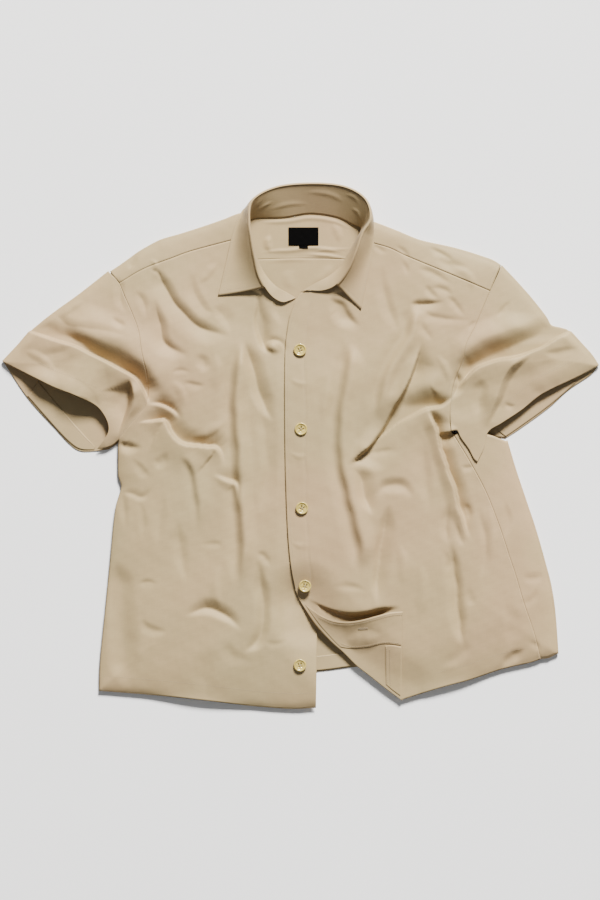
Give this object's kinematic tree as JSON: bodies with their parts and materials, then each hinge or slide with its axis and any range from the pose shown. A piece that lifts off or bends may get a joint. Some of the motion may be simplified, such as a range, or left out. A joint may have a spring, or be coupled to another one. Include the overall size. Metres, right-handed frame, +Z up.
{
  "type": "short-sleeved button-front shirt",
  "caption": "Boxy short-sleeved shirt with a turned-down collar, laid flat on its back with the lower front corner folded over.",
  "frame": {"origin": "middle of the laid-out shirt's outline, on the surface it lies on", "axes": "+Z up from the surface, +Y towards the collar, +X towards the wearer's left side"},
  "size_m": [0.8966, 0.7894, 0.0394],
  "materials": {
    "shirting": "plain-woven cotton, beige with a faint sheen",
    "button": "pale yellow, polished rim",
    "label": "black satin weave"
  },
  "bodies": {
    "root": {"back": "shirting", "back_hem": "shirting", "yoke": "shirting", "right_front": "shirting", "left_front": "shirting", "left_facing": "shirting", "left_hem_turn": "shirting", "right_sleeve": "shirting", "left_sleeve": "shirting", "right_sleeve_hem": "shirting", "left_sleeve_hem": "shirting", "collar_band": "shirting", "collar_leaf": "shirting", "label": "label", "size_tab": "label", "button_1": "button", "button_2": "button", "button_3": "button", "button_4": "button", "button_5": "button"}
  },
  "joints": []
}
